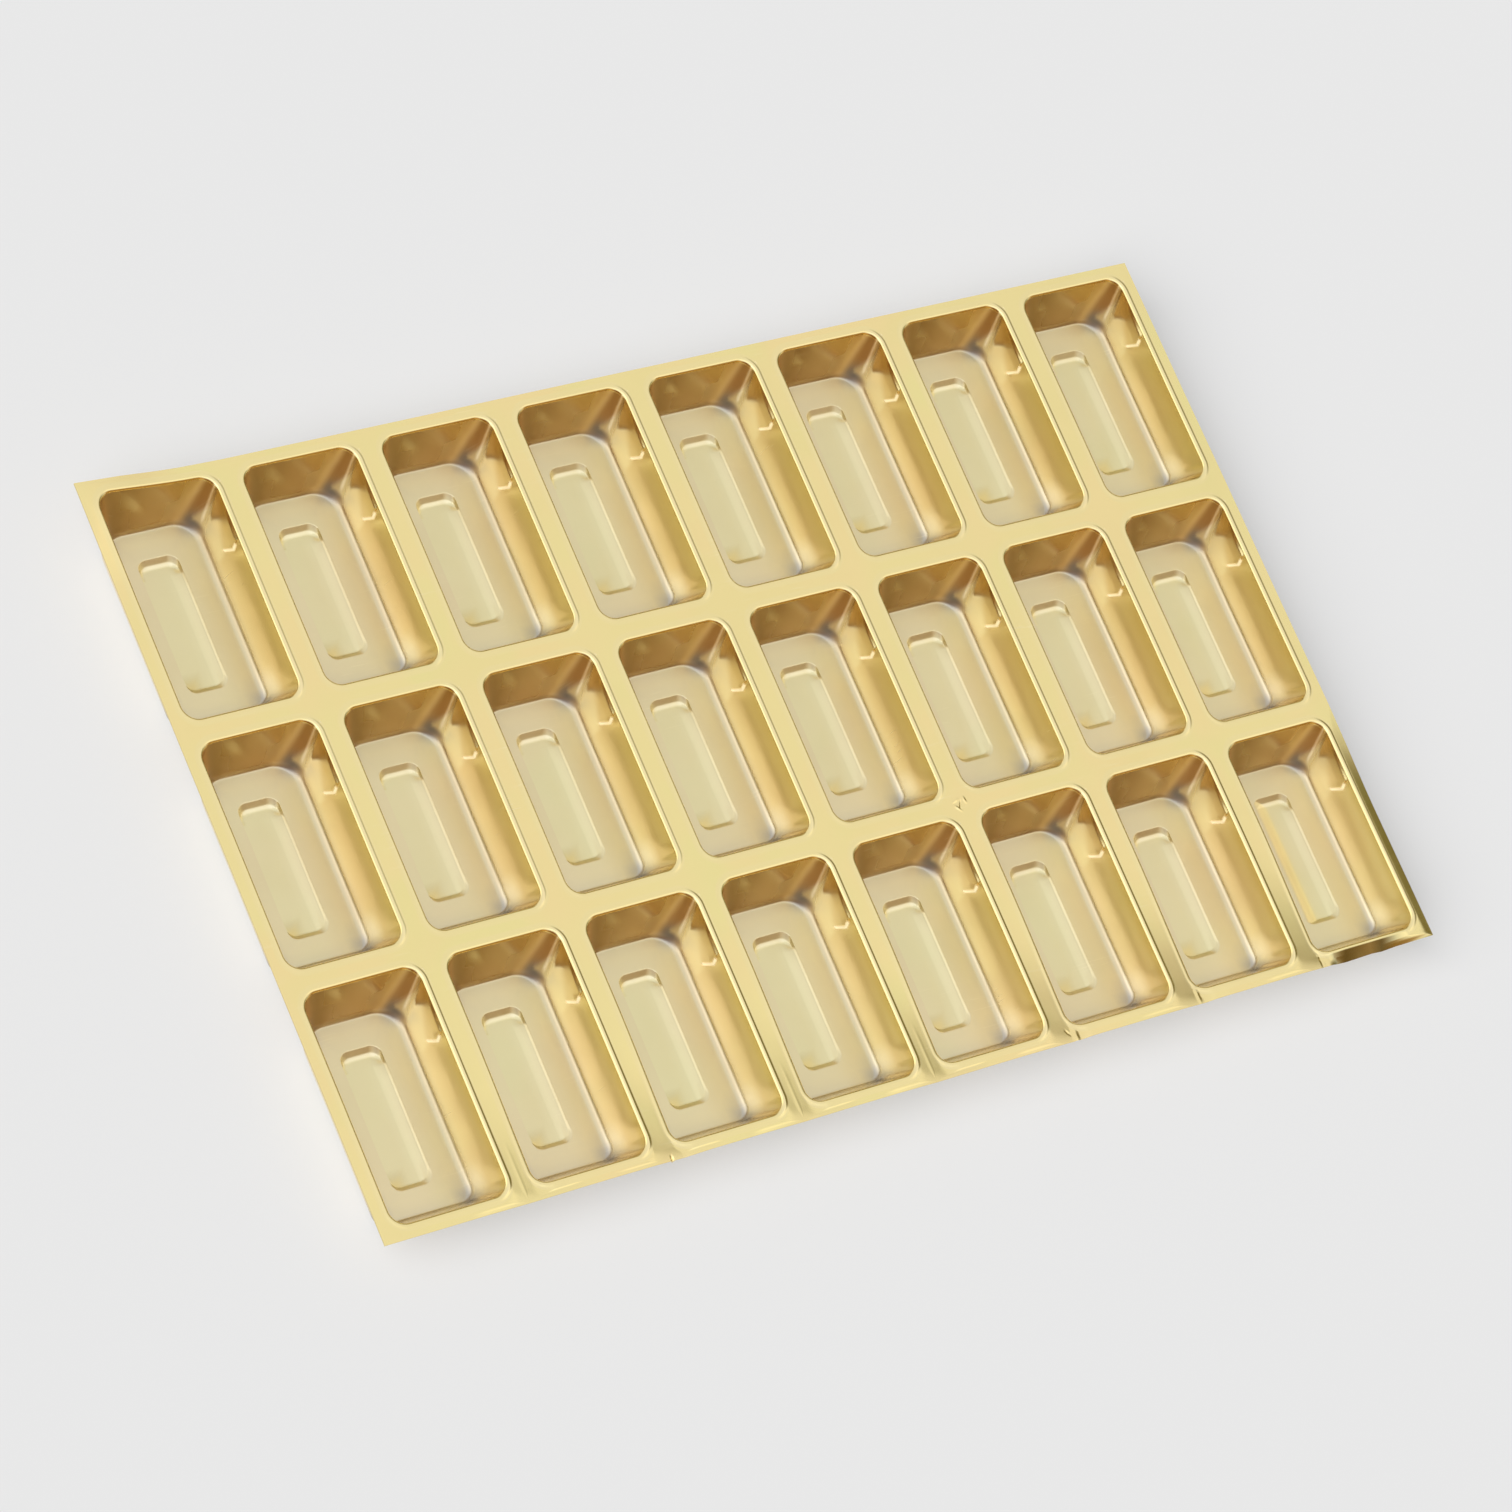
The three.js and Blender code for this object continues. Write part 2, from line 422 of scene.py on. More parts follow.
def lug_push(y, depth):
    """How far the right-hand wall stands inwards. The lug follows the leaning wall down to its shoulder, and
    is nearly upright from there to its foot. Its near end is a crisp round step, and it dwindles from there
    to the far corner."""
    ledge = ease((depth - LUG_TOP) / LUG_LEDGE)
    below = min(max((depth - LUG_SHOULDER) / (LUG_FOOT - LUG_SHOULDER), 0), 1)
    near = lug_near_end(depth)
    dwindle = ease((LUG_FAR - y) / LUG_LENGTH)
    return LUG_REACH * ledge * (1 - below) * ease((y - near) / LUG_NEAR_RUN) * dwindle


pushed = 0
for vert in pocket_form.verts:
    depth = DECK_TOP - vert.co.z
    if vert.co.x > STRAIGHT_X and 0 < depth < POCKET_DEPTH:
        push = lug_push(vert.co.y, depth)
        vert.co.x -= push
        pushed += push > 0
print("points in the lug:", pushed)

# %% [markdown]
# ## The floor of the panel
# The panel has a deep far end, where a bright foot with a painted highlight lies below a dark slope. Along its
# right side it is shallow, so the step there shows as one thin bright line. More rings could follow this, but a
# share of the depth that changes from place to place is less work: a strip beside the step is cut closer and
# moves up.

# %% Make the panel shallow along its right side
PANEL_SHALLOW = 0.25
PANEL_DEEP_END = 2.6 * MM
PANEL_RISE_RUN = 3 * MM
PANEL_STRIP = 3.5 * MM
PANEL_CUT = 0.4 * MM
STRIP_END = PANEL_FAR - PANEL_DEEP_END
STRIP_LEFT = PANEL_RIGHT - PANEL_STRIP
STRIP_RIGHT = PANEL_RIGHT - PANEL_SIDE_SLOPE


def panel_share(x, y):
    """Share of its depth that the panel has: 1 at the far end and on the left, less on the right."""
    along = ease((STRIP_END - y) / PANEL_RISE_RUN)
    return blend(1, PANEL_SHALLOW, along * ease(1 - (PANEL_RIGHT - x) / PANEL_STRIP))


def below_floor(bm):
    return [face for face in bm.faces if face.calc_center_median().z < FLOOR_HEIGHT]


panel = cut_film(pocket_form, RIGHT, spaced(STRIP_LEFT, STRIP_RIGHT, PANEL_CUT), below_floor(pocket_form))
cut_film(pocket_form, FAR, spaced(STRIP_END - PANEL_RISE_RUN, STRIP_END, PANEL_CUT), panel)
for vert in pocket_form.verts:
    sunk = FLOOR_HEIGHT - vert.co.z
    if sunk > 0:
        vert.co.z = FLOOR_HEIGHT - sunk * panel_share(vert.co.x, vert.co.y)
print("share of the panel's depth at its right side:", panel_share(PANEL_RIGHT, 0))

# %% [markdown]
# ## Marks that follow the form
# Each pocket has its marks in the same places. The film is drawn thin in the corners of the floor, which get a
# painted grey reflection. The upright corners are hazy and carry painted shade. Pale matt lines paint
# highlights where the film was strained, and the crown of its rim is painted paler as a highlight. The far wall
# has painted shade at its left end and a painted warm reflection at its right, and some patches carry painted
# highlights. A picture would have to be wrapped round the form. Here each mark is a function of the place in
# the pocket, kept with the points as an attribute that a material can read later.

# %% Painted grey reflection in the corners of the floor, where the film is drawn thin
GREY_REFLECTION_REACH = 2.9 * MM
GREY_REFLECTION_INSET = 1.7 * MM
GREY_REFLECTION_LIFT = 1.9 * MM
BORDER_REACH = 4.0 * MM
BORDER_GREY_REFLECTION = 0.16

grey_reflection_corner = Vector((floor_ring.half_x - GREY_REFLECTION_INSET, floor_ring.half_y - GREY_REFLECTION_INSET,
                           FLOOR_HEIGHT + GREY_REFLECTION_LIFT))
floor_middle = Vector((0, floor_ring.middle_y, 0))


def grey_reflection_mask(place):
    """Mask of a painted grey reflection: 1 in the corners of the floor, and a little along its border."""
    place = Vector(abs(side) for side in place - floor_middle)
    in_corner = math.exp(-((place - grey_reflection_corner).length / GREY_REFLECTION_REACH) ** 2)
    to_border = min(floor_ring.half_x - place.x, floor_ring.half_y - place.y)
    low = ease(1 - (place.z - FLOOR_HEIGHT) / (2 * FLOOR_FILLET))
    return max(in_corner, BORDER_GREY_REFLECTION * ease(1 - to_border / BORDER_REACH) * low)


print("stretch in a corner of the floor:", round(grey_reflection_mask(floor_middle + grey_reflection_corner), 2))

# %% Painted shade and a painted warm reflection on the far wall
FAR_WALL_FADE = 1.0 * MM
FAR_SHADE_END = 7 * MM
FAR_SHADE_RUN = 17 * MM


def far_wall_shade_and_glow(place):
    """Shares of painted shade at the left end of the far wall, and of a painted warm reflection at its right.
    """
    depth = DECK_TOP - place.z
    behind = place.y - far_line(depth) + FAR_WALL_FADE
    if min(depth - RIM_ROLL, behind) < 0:
        return 0, 0
    left = ease((FAR_SHADE_END - place.x) / FAR_SHADE_RUN)
    wall = ease(behind / FAR_WALL_FADE) * ease((POCKET_DEPTH - depth) / FLOOR_FILLET)
    return left * wall, (1 - left) * wall


print("the far wall turns from deep to warm over", round(FAR_SHADE_RUN / MM), "mm")

# %% Haze and painted shade in the upright corners
RIGHT_ANGLE = 90
HAZE_TURN = 24
HAZE_START = 5
HAZE_MARGIN = 1.5 * MM


# This mask makes the far corners rougher, and also darkens them with painted shade.
def in_upright_corner(place):
    """1 in the middle of a far corner between two walls, 0 on the flat walls and on the rim."""
    depth = DECK_TOP - place.z
    ring = film_ring(0, depth)
    out_x = abs(place.x) - ring.half_x + ring.radius + HAZE_MARGIN
    out_y = place.y - far_line(depth) + ring.radius
    if min(out_x, out_y, depth - RIM_ROLL) <= 0:
        return 0
    turn = math.degrees(math.atan2(out_y, out_x))
    between = min(turn / HAZE_TURN, (RIGHT_ANGLE - turn) / HAZE_START)
    return ease(between) * ease((place.z - FLOOR_HEIGHT) / FLOOR_FILLET)


print("full haze:", HAZE_TURN, "to", RIGHT_ANGLE - HAZE_START, "degrees round a corner")

# %% Pale matt lines that paint highlights, where the film was strained
CREASE_SEGMENT = 4
CREASE_TURN = CREASE_SEGMENT * RIGHT_ANGLE / CORNER_SEGMENTS
CREASE_HALF_TURN = 6
CORNER_HIGHLIGHT_SHARE = 0.36
CREASE_FILLETS = 1.6
CREASE_LOW = POCKET_DEPTH - CREASE_FILLETS * FLOOR_FILLET
HOOK_HALF = 0.7 * MM
HOOK_LOW = 7.4 * MM
HOOK_HIGH = 1.4 * MM


def matt_highlight_lines(place):
    """Painted highlight lines: 1 on the sharp near end of the lug, and less on a line down the far right
    corner.
    """
    depth = DECK_TOP - place.z
    ring = film_ring(0, depth)
    out_x = place.x - ring.half_x + ring.radius
    out_y = place.y - far_line(depth) + ring.radius
    if min(depth, out_x) < 0:
        return 0
    if out_y > 0:
        off_line = abs(math.degrees(math.atan2(out_y, out_x)) - CREASE_TURN)
        above = ease((CREASE_LOW - depth) / FLOOR_FILLET)
        return CORNER_HIGHLIGHT_SHARE * ease(1 - off_line / CREASE_HALF_TURN) * above
    off_line = place.y - lug_near_end(depth) - LUG_NEAR_RUN / 2
    span = ease((HOOK_LOW - depth) / LUG_LEDGE) * ease((depth - HOOK_HIGH) / LUG_LEDGE)
    return ease(1 - abs(off_line) / HOOK_HALF) * span


print("crazed line", round(CREASE_TURN, 1), "degrees round the far right corner")

# %% Painted highlights
LUG_SLANT = 6.5 * MM
LUG_SLANT_RUN = 3.5 * MM
LUG_HIGHLIGHT_FADE = 1.5 * MM
HIGHLIGHT_PLACE = 4.2 * MM
HIGHLIGHT_HALF = 6 * MM
HIGHLIGHT_HIGH = 5 * MM
HIGHLIGHT_RUN = 5 * MM
FOOT_HIGHLIGHT = 0.45
EDGE = 0.05


def lug_highlight(place):
    """1 on the far and low part of the lug's face, with a slanting edge, where a highlight is painted."""
    depth = DECK_TOP - place.z
    if place.x < floor_ring.half_x - FLOOR_FILLET or depth < RIM_ROLL:
        return 0
    far_share = (place.y - LUG_NEAR) / LUG_LENGTH
    slant = ease((depth - LUG_SLANT * (1 - far_share)) / LUG_SLANT_RUN)
    near_end = ease((place.y - LUG_NEAR) / LUG_HIGHLIGHT_FADE)
    far_end = ease((LUG_FAR + LUG_HIGHLIGHT_FADE / 2 - place.y) / LUG_HIGHLIGHT_FADE)
    return slant * near_end * far_end * ease((POCKET_DEPTH - FLOOR_FILLET - depth) / LUG_HIGHLIGHT_FADE)


def near_end_highlight(place):
    """1 low on the right wall, close to its near end, where a highlight is painted."""
    depth = DECK_TOP - place.z
    if depth < RIM_ROLL or place.x < film_ring(0, depth).half_x - FLOOR_FILLET:
        return 0
    off_patch = abs(place.y - near_line(depth) - HIGHLIGHT_PLACE)
    low = ease((depth - HIGHLIGHT_HIGH) / HIGHLIGHT_RUN) * ease((POCKET_DEPTH - depth) / FLOOR_FILLET)
    return ease(1 - off_patch / HIGHLIGHT_HALF) * low


def panel_foot_highlight(place):
    """A share of painted highlight on the foot of the panel's far end."""
    sunk = (FLOOR_HEIGHT - place.z) / PANEL_DEPTH
    from_end = PANEL_FAR - PANEL_FAR_SLOPE - place.y
    if sunk < 1 - PANEL_FOOT_SHARE - EDGE or from_end > PANEL_FAR_FOOT + EDGE * MM:
        return 0
    return FOOT_HIGHLIGHT * ease((1 - sunk) / EDGE)


print("shine on the foot of the panel:", FOOT_HIGHLIGHT)

# %% Keep the marks with the points
# Share of the pale matt coat that paints a highlight low at the near end of the right wall.
NEAR_END_MATT = 0.32
MARKED = 0.5


def marks(place):
    """What each attribute holds at a place in the pocket."""
    # deep holds painted shade and warm holds a painted warm reflection on the far wall.
    deep, warm = far_wall_shade_and_glow(place)
    # Most of these marks paint light: a grey reflection, a highlight on the rim's crown, pale matt highlight
    # lines, shade and a warm reflection on the far wall, highlight patches, and shade in the upright corners.
    return {
        "grey_reflection": grey_reflection_mask(place),
        "rim_highlight": ease((place.z - DECK_TOP) / RIM_HEIGHT),
        "matt_highlight": max(matt_highlight_lines(place), NEAR_END_MATT * near_end_highlight(place)),
        "deep": deep,
        "warm": warm,
        # Painted highlights on the lug, the near end of the right wall and the panel's foot.
        "shine": max(lug_highlight(place), near_end_highlight(place), panel_foot_highlight(place)),
        "haze_and_shade": in_upright_corner(place),
    }


layers = {name: pocket_form.verts.layers.float.new(name) for name in marks(floor_middle)}
for vert in pocket_form.verts:
    for name, share in marks(vert.co).items():
        vert[layers[name]] = share
for name, layer in layers.items():
    print(name, "points:", sum(vert[layer] > MARKED for vert in pocket_form.verts))

# %% [markdown]
# ## Bends and dents of thin film
# A sheet this thin is never flat. The far left corner is pulled outwards and stands up, the webs of the near
# row tilt down to the right, the flange at the near right corner is crushed and bent down, with painted shade
# on it, and handling has left creases. The deck and the pockets have to bend alike, or the seam between them
# would open, so every bend is a function of the place on the sheet, and each piece is moved by all of them.
# Nothing is pushed below the floor, because the sunk panels stand on it.

# %% The lifted corner and the slow waves of the sheet
CORNER_PULL = Vector((-1.3 * MM, 0.8 * MM, 3.0 * MM))
CORNER_REACH = 46 * MM
WAVE_HEIGHT = 0.12 * MM
WAVE_LENGTH_X = 83 * MM
WAVE_LENGTH_Y = 61 * MM


def by_corner(x, y):
    """1 at the far left corner of the sheet, fading to 0 away from it."""
    return ease(1 - math.hypot(x - deck_low.x, y - deck_high.y) / CORNER_REACH) ** 2


def slow_wave(x, y):
    """Lift of the whole film above its formed place."""
    wave = math.sin(math.tau * x / WAVE_LENGTH_X) * math.cos(math.tau * y / WAVE_LENGTH_Y)
    return WAVE_HEIGHT * (1 + wave) / 2


print("pull at the far left pocket:", round(by_corner(columns[0], rows[-1]), 3))

# %% Webs that tilt and sag towards the near edge
WEB_SAG = 1.0 * MM
WEB_SAG_RUN = 42 * MM
WEB_HALF = 3.05 * MM
EDGE_HALF = 5 * MM
WEB_END = 9 * MM
WEB_FADE = 5 * MM
FLANGE_SHARE = 0.25
MOUTH_NEAR = rows[0] - MOUTH_HALF_Y
MOUTH_RIGHT = columns[-1] + MOUTH_HALF_X
web_lines = [(left + right) / 2 for left, right in zip(columns, columns[1:])]


def web_sag(x, y):
    """Depth of the webs in the near row. Each tilts down to the right, up to the next mouth."""
    along = ease(1 - (y - deck_low.y) / WEB_SAG_RUN)
    on_flange = ease((MOUTH_NEAR - y) / (MOUTH_NEAR - deck_low.y))
    half = blend(WEB_HALF, EDGE_HALF, on_flange)
    off_middle = min((x - web for web in web_lines), key=abs)
    tilt = min(max(off_middle / half + 1, 0) / 2, 1) * ease((WEB_END - off_middle) / WEB_FADE)
    return WEB_SAG * along * tilt * (1 - FLANGE_SHARE * on_flange)


print("sag in the first web:", round(web_sag(web_lines[0], deck_low.y) / MM, 2), "mm")

# %% The crushed near right corner
NEAR_DROOP = 0.75
DROOP_LEFT = 117 * MM
DROOP_RIGHT = 141 * MM
FOLD = 129.5 * MM
FOLD_HALF = 2.2 * MM
FOLD_SHARE = 0.6
SIDE_DROOP = 0.34
SIDE_DROOP_START = -30 * MM
SIDE_DROOP_RUN = 30 * MM
FADE = 5 * MM


def crushed(x):
    """How much the near flange is crushed. It is folded up again in one place."""
    fold = 1 - FOLD_SHARE * math.exp(-((x - FOLD) / FOLD_HALF) ** 2)
    return ease((x - DROOP_LEFT) / FADE) * ease((DROOP_RIGHT - x) / FADE) * fold


def crushed_corner(x, y):
    """Depth of the near flange beside the last pocket, and of the right flange."""
    near = NEAR_DROOP * crushed(x) * max(MOUTH_NEAR - RIM_ROLL - y, 0)
    side = SIDE_DROOP * ease((SIDE_DROOP_START - y) / SIDE_DROOP_RUN) * max(x - MOUTH_RIGHT - RIM_WIDTH, 0)
    return near + side


print("near flange bent down by", round(crushed_corner((DROOP_LEFT + FOLD) / 2, deck_low.y) / MM, 2), "mm")

# %% Mark the painted shade on the crushed flange


def mark_flange_shade(bm):
    """Keeps with the points of a piece how much painted shade the crushed near flange gets."""
    flange_shade = bm.verts.layers.float.new("flange_shade")
    for vert in bm.verts:
        vert[flange_shade] = crushed(vert.co.x) * ease((MOUTH_NEAR - RIM_ROLL - vert.co.y) / APRON)


print("dull at the fold:", round(crushed(FOLD), 2), "and beside it:", round(crushed(FOLD - FADE), 2))

# %% Small folds and creases
Crease = namedtuple("Crease", "x y long half height turn")
CREASES_IN_MM = [
    (-73.6, -94.6, 1.3, 0.5, -0.5, 90),
    (41.2, -93.4, 3.4, 1.3, 0.32, 82),
    (39.4, -92.6, 1.5, 0.35, -0.22, 125),
    (78.1, -92.4, 3.0, 0.75, 0.26, 86),
    (115.9, -92.6, 3.2, 0.5, -0.24, 80),
    (37.3, -31.6, 1.6, 0.4, -0.20, 60),
    (38.8, -30.6, 1.4, 0.5, 0.16, 100),
    (36.2, -32.3, 1.8, 0.45, 0.15, 130),
    (36.4, -30.3, 1.6, 0.4, 0.12, 20),
]
CREASES = [Crease(*(size * MM for size in sizes), turn) for *sizes, turn in CREASES_IN_MM]


def creased(x, y):
    """Height of the creases at a place: each is a short soft ridge, or a furrow where it is negative."""
    height = 0
    for crease in CREASES:
        turn = math.radians(crease.turn)
        along = (x - crease.x) * math.cos(turn) + (y - crease.y) * math.sin(turn)
        across = (y - crease.y) * math.cos(turn) - (x - crease.x) * math.sin(turn)
        height += crease.height * ease(1 - abs(along) / crease.long) * ease(1 - abs(across) / crease.half)
    return height


print("creases:", len(CREASES))

# %% Bend a piece


def bend(bm):
    """Moves all points of a piece. The dents fade out towards the floor, which stays flat."""
    for vert in bm.verts:
        x, y, z = vert.co
        surface = ease((z - FLOOR_HEIGHT) / POCKET_DEPTH)
        vert.co.z += slow_wave(x, y) + surface * (creased(x, y) - web_sag(x, y) - crushed_corner(x, y))
        vert.co += surface * by_corner(x, y) * CORNER_PULL


sample = bmesh.new()
bmesh.ops.create_vert(sample, co=(deck_low.x, deck_high.y, DECK_TOP))
bend(sample)
print("far left corner of the sheet now at", round(max(vert.co.z for vert in sample.verts) / MM, 2), "mm")
sample.free()

# %% [markdown]
# ## From a surface to film
# The mesh so far is the upper face of the film. Solidify gives it its thickness downwards. The cut edge has
# to stay crisp, so edges that turn sharply are marked, and all else is shaded smooth.

# %% Give the film its thickness and make the pieces
FILM = 0.4 * MM
SHARP_TURN = math.radians(50)


def film_piece(name, bm, node):
    """Finishes a bmesh as a piece of film that stands for a node of the frame."""
    bmesh.ops.recalc_face_normals(bm, faces=bm.faces)
    if max(bm.faces, key=lambda face: face.calc_area()).normal.z < 0:
        bmesh.ops.reverse_faces(bm, faces=bm.faces)
    bmesh.ops.solidify(bm, geom=bm.faces, thickness=FILM)
    for face in bm.faces:
        face.smooth = True
    for edge in bm.edges:
        edge.smooth = len(edge.link_faces) == 2 and edge.calc_face_angle() < SHARP_TURN
    mesh = bpy.data.meshes.new(name)
    bm.to_mesh(mesh)
    piece = add_object(name, mesh)
    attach(piece, "root")
    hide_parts(node)
    return piece


print("film:", FILM / MM, "mm thick")

# %% [markdown]
# ## The pockets
# All pockets are the same form, set in its 24 places, with two exceptions. In the near row the rims stand a
# little higher. And the pocket in the near right corner was not drawn fully: its panel slumps gently on the
# left where the others have a step. Both could be forms of their own, but it is enough to move some points.

# %% Let one panel slump, and set all pockets in place
SLUMPED = pocket_names[-1]
SLUMP_RUN = 4.5 * MM
SLUMP_CUT = 0.45 * MM
NEAR_ROW_RISE = 1.45


def slump_panel(bm):
    start = -PANEL_RIGHT
    cut_film(bm, RIGHT, spaced(start, start + SLUMP_RUN, SLUMP_CUT), below_floor(bm))
    for vert in bm.verts:
        if vert.co.z < FLOOR_HEIGHT:
            slope = FLOOR_HEIGHT - PANEL_DEPTH * ease((vert.co.x - start) / SLUMP_RUN)
            vert.co.z = max(vert.co.z, slope)


def raise_rim(bm):
    for vert in bm.verts:
        if vert.co.z > DECK_TOP:
            vert.co.z = DECK_TOP + (vert.co.z - DECK_TOP) * NEAR_ROW_RISE


pockets = []
for node in pocket_names:
    form = pocket_form.copy()
    if node == SLUMPED:
        slump_panel(form)
    if middle(node).y < rows[0] + MM:
        raise_rim(form)
    bmesh.ops.translate(form, vec=middle(node), verts=form.verts)
    mark_flange_shade(form)
    bend(form)
    pockets.append(film_piece("formed_" + node, form, node))
    form.free()
print("pockets:", len(pockets), "with", len(pockets[0].data.polygons), "faces each")

# %% [markdown]
# ## The deck
# The deck is the flat rest of the sheet: a flange all round and narrow webs between the pockets. Filling an
# outline with 24 holes would leave long thin triangles, which shine badly once they bend. So the deck is made
# of cells, one round each pocket, by the same insets: from a square rectangle to the pocket's outline. The
# cells are cut at the pockets' places, so both sides of the seam have the same points and it can't open.

# %% One cell of the deck
CELL_CORNER = 0.05 * MM
CELL_STEPS = 5

cell_outline = Ring(PITCH_X / 2, PITCH_Y / 2, CELL_CORNER, CELL_CORNER, DECK_TOP)
seam_outline = film_ring(RIM_WIDTH + APRON + SEAM, 0)
cell_rings = [Ring(*(blend(outer, inner, share) for outer, inner in zip(cell_outline, seam_outline)))
              for share in [0] + shares(CELL_STEPS)]
cell_form = bmesh.new()
hole = inset_through(cell_form, cell_rings + [apron])
bmesh.ops.delete(cell_form, geom=[hole], context="FACES_ONLY")
cut_film(cell_form, RIGHT, CUTS_X)
cut_film(cell_form, FAR, CUTS_Y)
for side_x in (-1, 1):
    for side_y in (-1, 1):
        corner = Vector((side_x * PITCH_X / 2, side_y * PITCH_Y / 2, DECK_TOP))
        close = [vert for vert in cell_form.verts if (vert.co - corner).length < 2 * CELL_CORNER]
        bmesh.ops.pointmerge(cell_form, verts=close, merge_co=corner)
print("cell of the deck:", len(cell_form.verts), "points,", len(cell_form.faces), "faces")

# %% Join the cells and stretch the outer ones to the edge of the sheet
SAME_PLACE = 0.005 * MM
OUTER_X = columns[-1] + PITCH_X / 2
OUTER_Y = rows[-1] + PITCH_Y / 2

cell_mesh = bpy.data.meshes.new("deck_cell")
cell_form.to_mesh(cell_mesh)
deck_form = bmesh.new()
for node in pocket_names:
    before = set(deck_form.verts)
    deck_form.from_mesh(cell_mesh)
    added = [vert for vert in deck_form.verts if vert not in before]
    bmesh.ops.translate(deck_form, vec=middle(node), verts=added)
for vert in deck_form.verts:
    if abs(vert.co.x) > OUTER_X - SEAM:
        vert.co.x = math.copysign(deck_high.x, vert.co.x)
    if abs(vert.co.y) > OUTER_Y - SEAM:
        vert.co.y = math.copysign(deck_high.y, vert.co.y)
bmesh.ops.remove_doubles(deck_form, verts=deck_form.verts, dist=SAME_PLACE)
print("deck:", len(deck_form.verts), "points,", len(deck_form.faces), "faces")

# %% Cut it finer at the creases and finish it
CREASE_REACH = 4.5 * MM
CREASE_CUT = 0.25 * MM


def refine(bm, x, y):
    """Cuts the faces round a place into a fine grid."""
    near = [face for face in bm.faces
            if min(abs(vert.co.x - x) for vert in face.verts) < CREASE_REACH
            and min(abs(vert.co.y - y) for vert in face.verts) < CREASE_REACH]
    near = cut_film(bm, RIGHT, spaced(x - CREASE_REACH, x + CREASE_REACH, CREASE_CUT), near)
    cut_film(bm, FAR, spaced(y - CREASE_REACH, y + CREASE_REACH, CREASE_CUT), near)


refined = CREASES[:1]
for mark in CREASES[1:]:
    if min(math.hypot(mark.x - done.x, mark.y - done.y) for done in refined) > CREASE_REACH:
        refined.append(mark)
for mark in refined:
    refine(deck_form, mark.x, mark.y)
mark_flange_shade(deck_form)
bend(deck_form)
deck = film_piece("deck_sheet", deck_form, "deck")
print("deck sheet:", len(deck.data.polygons), "faces, cut finer at", len(refined), "places")

# %% [markdown]
# ## The gold coat
# The film is plastic with a gold lacquer over a metal mist. It shines like metal, but the lacquer isn't even:
# its tint drifts a little to pink and to green, the drawn parts are hazier, and the skin has a faint peel
# like an orange's. A picture could hold all that, but noise made from the place on the object has no seams.
# Each effect is a node group, so the deck and the pockets can share it.

# %% Helpers for node trees
MIX_A = 6
MIX_B = 7
MIX_RESULT = 2


def fill(tree, node, inputs):
    """Links some inputs of a node to sockets, or sets them to plain values."""
    for name, source in inputs.items():
        if isinstance(source, bpy.types.NodeSocket):
            tree.links.new(source, node.inputs[name])
        else:
            node.inputs[name].default_value = source
    return node


def add_node(tree, kind, inputs):
    return fill(tree, tree.nodes.new("ShaderNode" + kind), inputs)


def combine(tree, operation, *sources):
    node = tree.nodes.new("ShaderNodeMath")
    node.operation = operation
    return fill(tree, node, dict(enumerate(sources))).outputs[0]


def mix(tree, share, first, second, blend_type="MIX"):
    node = tree.nodes.new("ShaderNodeMix")
    node.data_type = "RGBA"
    node.blend_type = blend_type
    return fill(tree, node, {0: share, MIX_A: first, MIX_B: second}).outputs[MIX_RESULT]


def window(tree, value, low, high, start=0, end=1):
    """Runs smoothly from start to end as the value passes from low to high."""
    limits = {"From Min": low, "From Max": high, "To Min": start, "To Max": end}
    node = add_node(tree, "MapRange", {"Value": value, **limits})
    node.interpolation_type = "SMOOTHSTEP"
    return node.outputs["Result"]


def noise(tree, place, size, detail):
    inputs = {"Vector": place, "Scale": 1 / size, "Detail": detail}
    return add_node(tree, "TexNoise", inputs).outputs["Fac"]


def shader_group(name, inputs, outputs):
    """A new group. Gives back its tree, what it is given and the node for its result."""
    tree = bpy.data.node_groups.new(name, "ShaderNodeTree")
    for in_out, sockets in {"INPUT": inputs, "OUTPUT": outputs}.items():
        for label, kind in sockets.items():
            tree.interface.new_socket(label, in_out=in_out, socket_type="NodeSocket" + kind)
    print("group:", name, [item.name for item in tree.interface.items_tree])
    return tree, tree.nodes.new("NodeGroupInput").outputs, tree.nodes.new("NodeGroupOutput")


print("sockets of a colour mix:", MIX_A, MIX_B, "and", MIX_RESULT)

# %% Tint that drifts to pink and to green
PINK = (1.04, 0.955, 1.02, 1)
PINK_SIZE = 34 * MM
PINK_LIMITS = (0.42, 0.62)
GREEN = (0.955, 1.02, 0.96, 1)
GREEN_SIZE = 23 * MM
GREEN_LIMITS = (0.48, 0.66)
DRIFT_DETAIL = 2

coat_drift, given, result = shader_group(
    "coat_drift", {"Place": "Vector", "Coat": "Color", "Drift": "Float"}, {"Colour": "Color"})
drifted = given["Coat"]
for tint, size, limits in ((PINK, PINK_SIZE, PINK_LIMITS), (GREEN, GREEN_SIZE, GREEN_LIMITS)):
    tinted = window(coat_drift, noise(coat_drift, given["Place"], size, DRIFT_DETAIL), *limits)
    share = combine(coat_drift, "MULTIPLY", tinted, given["Drift"])
    drifted = mix(coat_drift, share, drifted, tint, "MULTIPLY")
fill(coat_drift, result, {"Colour": drifted})

# %% Skin of the film: slow ripples, fine peel, and haze
RIPPLE_SIZE = 8 * MM
RIPPLE_DETAIL = 1
PEEL_SIZE = 1.1 * MM
PEEL_DETAIL = 2
PEEL_SHARE = 0.06
HAZE_SIZE = 14 * MM
HAZE_DETAIL = 4
HAZE_LIMITS = (0.35, 0.7)

